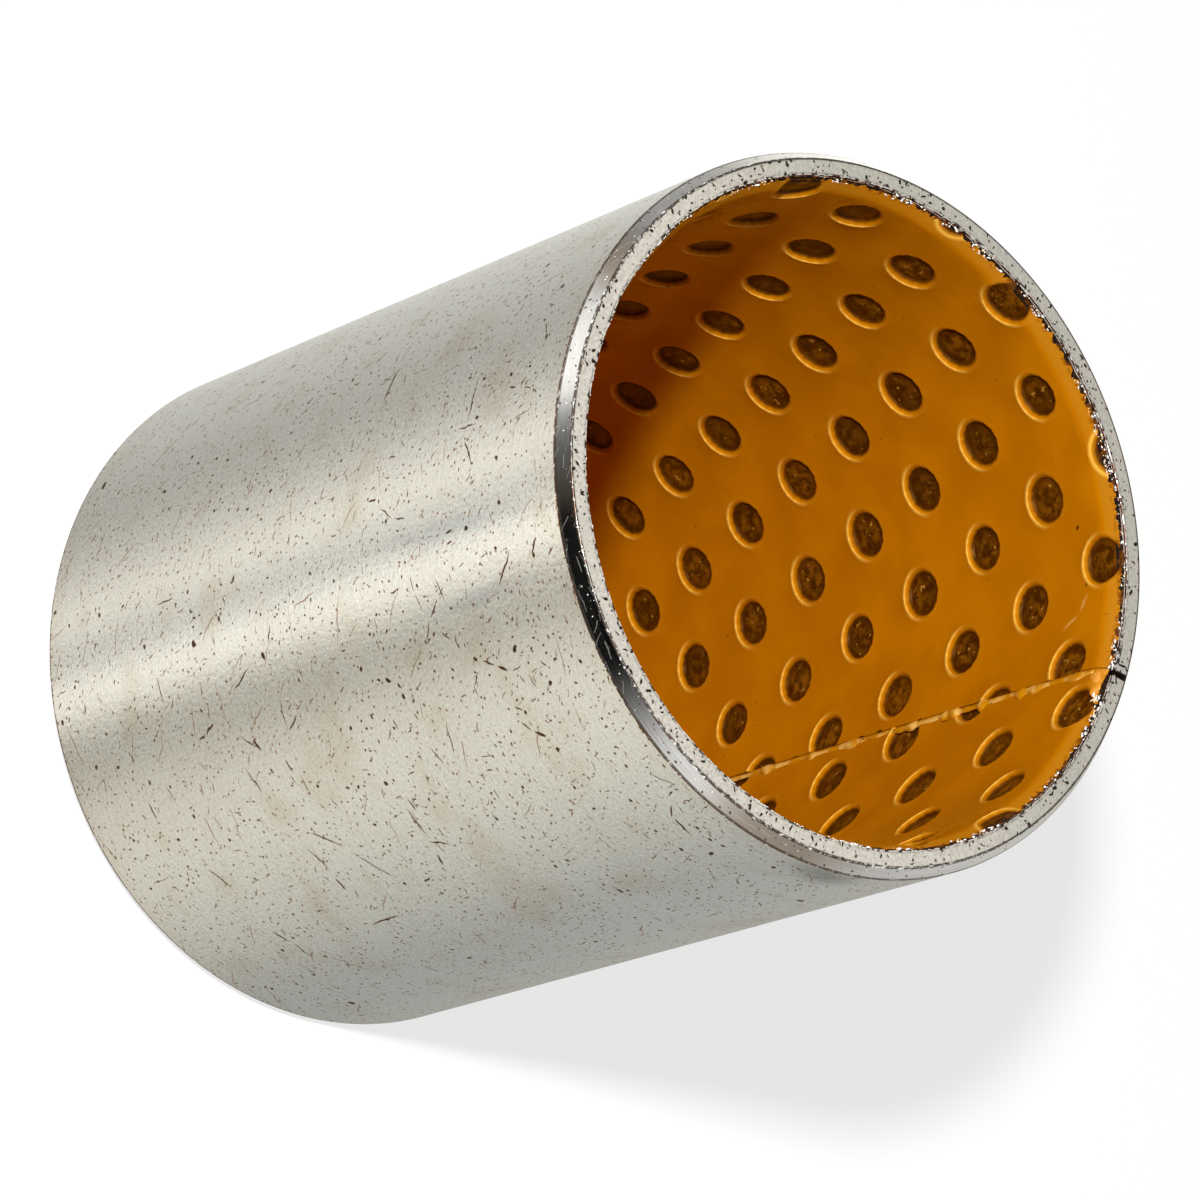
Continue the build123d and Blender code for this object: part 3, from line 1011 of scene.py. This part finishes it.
# the turned chamfer is paler than the moulded face
from_middle = amber.from_middle()
bore_corner = bush_length / 2 - bore_chamfer_along
on_chamfer = from_middle.step(bore_corner - 0.03, bore_corner + 0.20)
amber_tone = (on_chamfer * cloudy.step(0.3, 0.7, 0.5, 1.0)).blend(amber_tone, rgb(0.465, 0.180, 0.0070))
at_edge = from_middle.step(bush_length / 2 - 0.62, bush_length / 2 - 0.30)
amber_tone = (at_edge * fine.step(0.46, 0.62)).blend(amber_tone, rgb(0.20, 0.050, 0.001))
# painted highlight: the lip's crest is paler on the lower side of each indent, where the lamp catches it
lit_lower_side = downward.step(-0.10, 0.80, 0.06, 1.0)
painted_lip_highlight = reach.step(1.34, 1.43) * reach.step(1.45, 1.66, 1.0, 0.0) * lit_lower_side
amber_tone = (painted_lip_highlight * 0.90).blend(amber_tone, rgb(0.840, 0.450, 0.0600))
amber_tone = (smear * 0.35).blend(amber_tone, rgb(0.90, 0.52, 0.16))
amber_tone = most(motes * 0.6, blemishes * 0.95).blend(amber_tone, rgb(0.055, 0.016, 0.001))
mottle = amber.noise(1.8, 2.0, 0.7)
# the bronze shows darkly through the thin skin at the bottom of an indent
floor_tone = mottle.step(0.36, 0.66).blend(rgb(0.056, 0.0150, 0.0004), rgb(0.215, 0.074, 0.0022))
# painted shade: darker towards the floor's edge, where it meets the wall
floor_tone = reach.step(0.55, 1.20, 0.0, 0.75).blend(floor_tone, rgb(0.062, 0.013, 0.0003))
floor_tone = cloudy.step(0.40, 0.65, 0.0, 0.5).blend(floor_tone, rgb(0.040, 0.012, 0.0003))
# golden specks in the floor: the bronze's colour, made bright as painted glints
painted_golden_glints = fine.step(0.66, 0.72) * reach.step(0.9, 1.05, 0.6, 0.0)
floor_tone = painted_golden_glints.blend(floor_tone, rgb(0.62, 0.32, 0.05))
in_floor = (reach + (fine - 0.5) * 0.08).step(1.15, 1.33, 1.0, 0.0)
moulding = amber.noise(0.9, 1.0) * 0.7 + reach.step(1.1, 1.3, 1.0, 0.0) * mottle * 0.8
amber_skin = amber.finish(
    Base_Color=in_floor.blend(amber_tone, floor_tone),
    Roughness=fine.step(0.3, 0.7, 0.15, 0.21) + in_floor * 0.22 - painted_lip_highlight * 0.05,
    IOR=1.38, Specular_Tint=rgb(1.0, 0.62, 0.20),
    Normal=amber.bump(moulding, 0.05, 0.5),
)
lip = Paint("squeezed_lip")
lip_grain = lip.noise(1.1, 3.0, 0.6)
lip_tone = lip_grain.step(0.42, 0.62).blend(rgb(0.560, 0.225, 0.0030), rgb(0.800, 0.470, 0.110))
lip_pits = lip.marks(lip.unrolled(bore_radius), 1.0, 0.34, 0.16, 0.40, lean=1.57, spread=0.8, shift=5.0)
lip_tone = (lip_pits * 0.9).blend(lip_tone, rgb(0.06, 0.018, 0.001))
squeezed_lip = lip.finish(
    Base_Color=lip_tone, Roughness=lip_grain.step(0.3, 0.7, 0.18, 0.34),
    IOR=1.45, Specular_Tint=rgb(1.0, 0.80, 0.5), Normal=lip.bump(lip_grain, 0.05, 0.6),
)
torn = Paint("torn_polymer")
torn_grain = torn.noise(1.8, 3.0)
torn_tone = torn_grain.step(0.35, 0.65).blend(rgb(0.560, 0.205, 0.004), rgb(0.760, 0.320, 0.050))
torn_skin = torn.finish(
    Base_Color=torn_tone, Roughness=torn_grain.step(0.3, 0.7, 0.34, 0.5), Specular_Tint=rgb(1.0, 0.80, 0.5),
    Normal=torn.bump(torn_grain, 0.05, 0.6),
)
polymer_skin = new_piece("polymer_skin", lining_bm, amber_skin, squeezed_lip, torn_skin)
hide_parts("polymer_lining")
